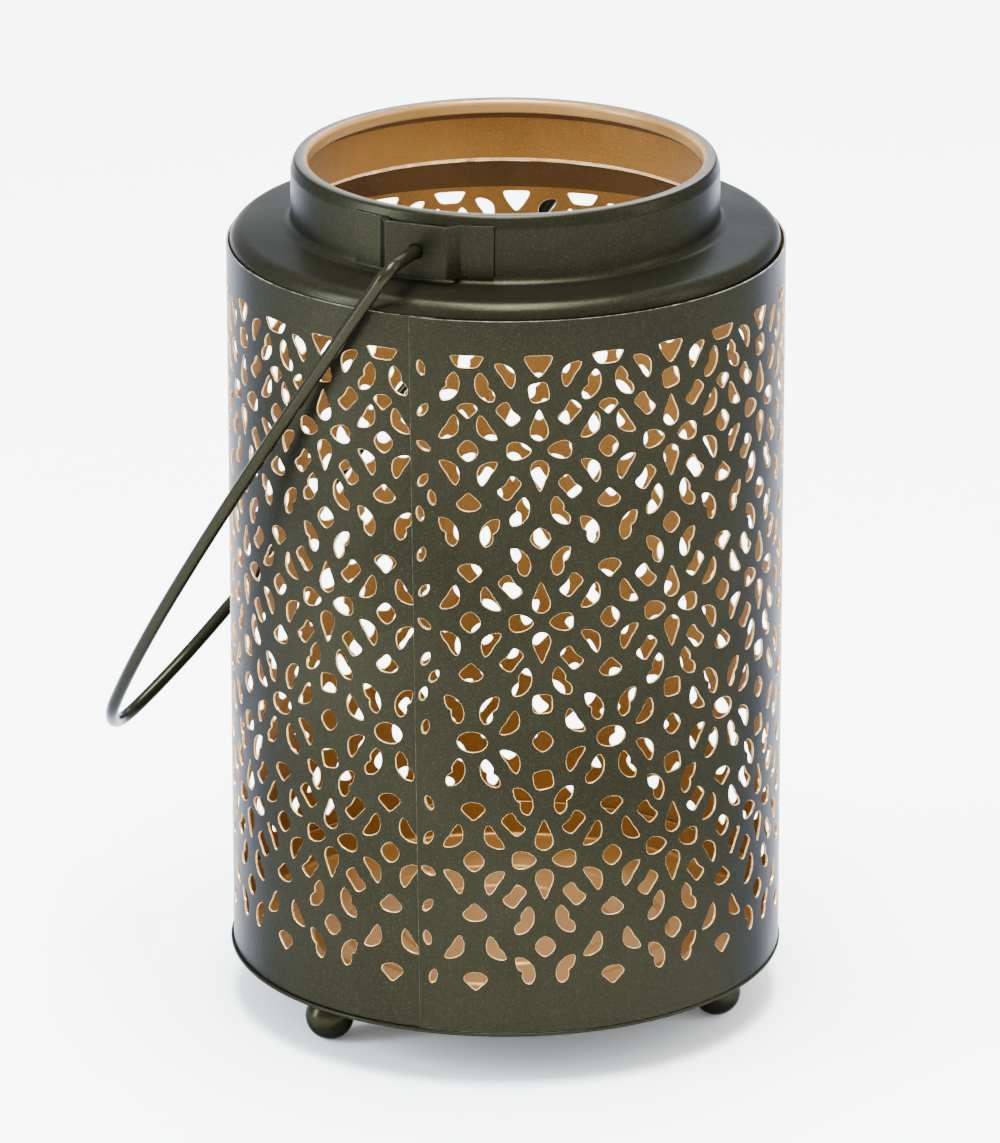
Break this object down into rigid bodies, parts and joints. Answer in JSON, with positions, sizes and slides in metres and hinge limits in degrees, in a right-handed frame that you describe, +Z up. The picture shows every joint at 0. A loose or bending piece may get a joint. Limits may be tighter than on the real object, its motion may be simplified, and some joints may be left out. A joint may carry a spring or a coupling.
{
  "type": "tealight holder",
  "caption": "Round perforated metal tealight holder with a shoulder and neck, a wire bail handle on strap brackets and small ball feet.",
  "frame": {"origin": "on the plane the ball feet stand on, below the tube's axis", "axes": "+Z up along the tube's axis; the handle's pivot line runs along Y with the front bracket towards -Y; the handle hangs on the -X side"},
  "size_m": [0.1403, 0.117, 0.1739],
  "materials": {
    "painted_sheet": "satin dark olive outside, gold paint inside",
    "painted_steel": "satin dark olive",
    "painted_wire": "satin dark olive"
  },
  "bodies": {
    "lantern": {"perforated_shell": "painted_sheet", "top_cap": "painted_sheet", "base_pan": "painted_sheet", "foot_left": "painted_steel", "foot_right": "painted_steel", "foot_back": "painted_steel", "front_bracket": "painted_steel", "rear_bracket": "painted_steel"},
    "handle": {"handle": "painted_wire"}
  },
  "joints": [
    {"name": "handle_swing", "type": "hinge", "parent": "lantern", "child": "handle", "pos_m": [0, 0, 0.1669], "axis": [0, 1, 0], "range_deg": [0, 290.8]}
  ]
}
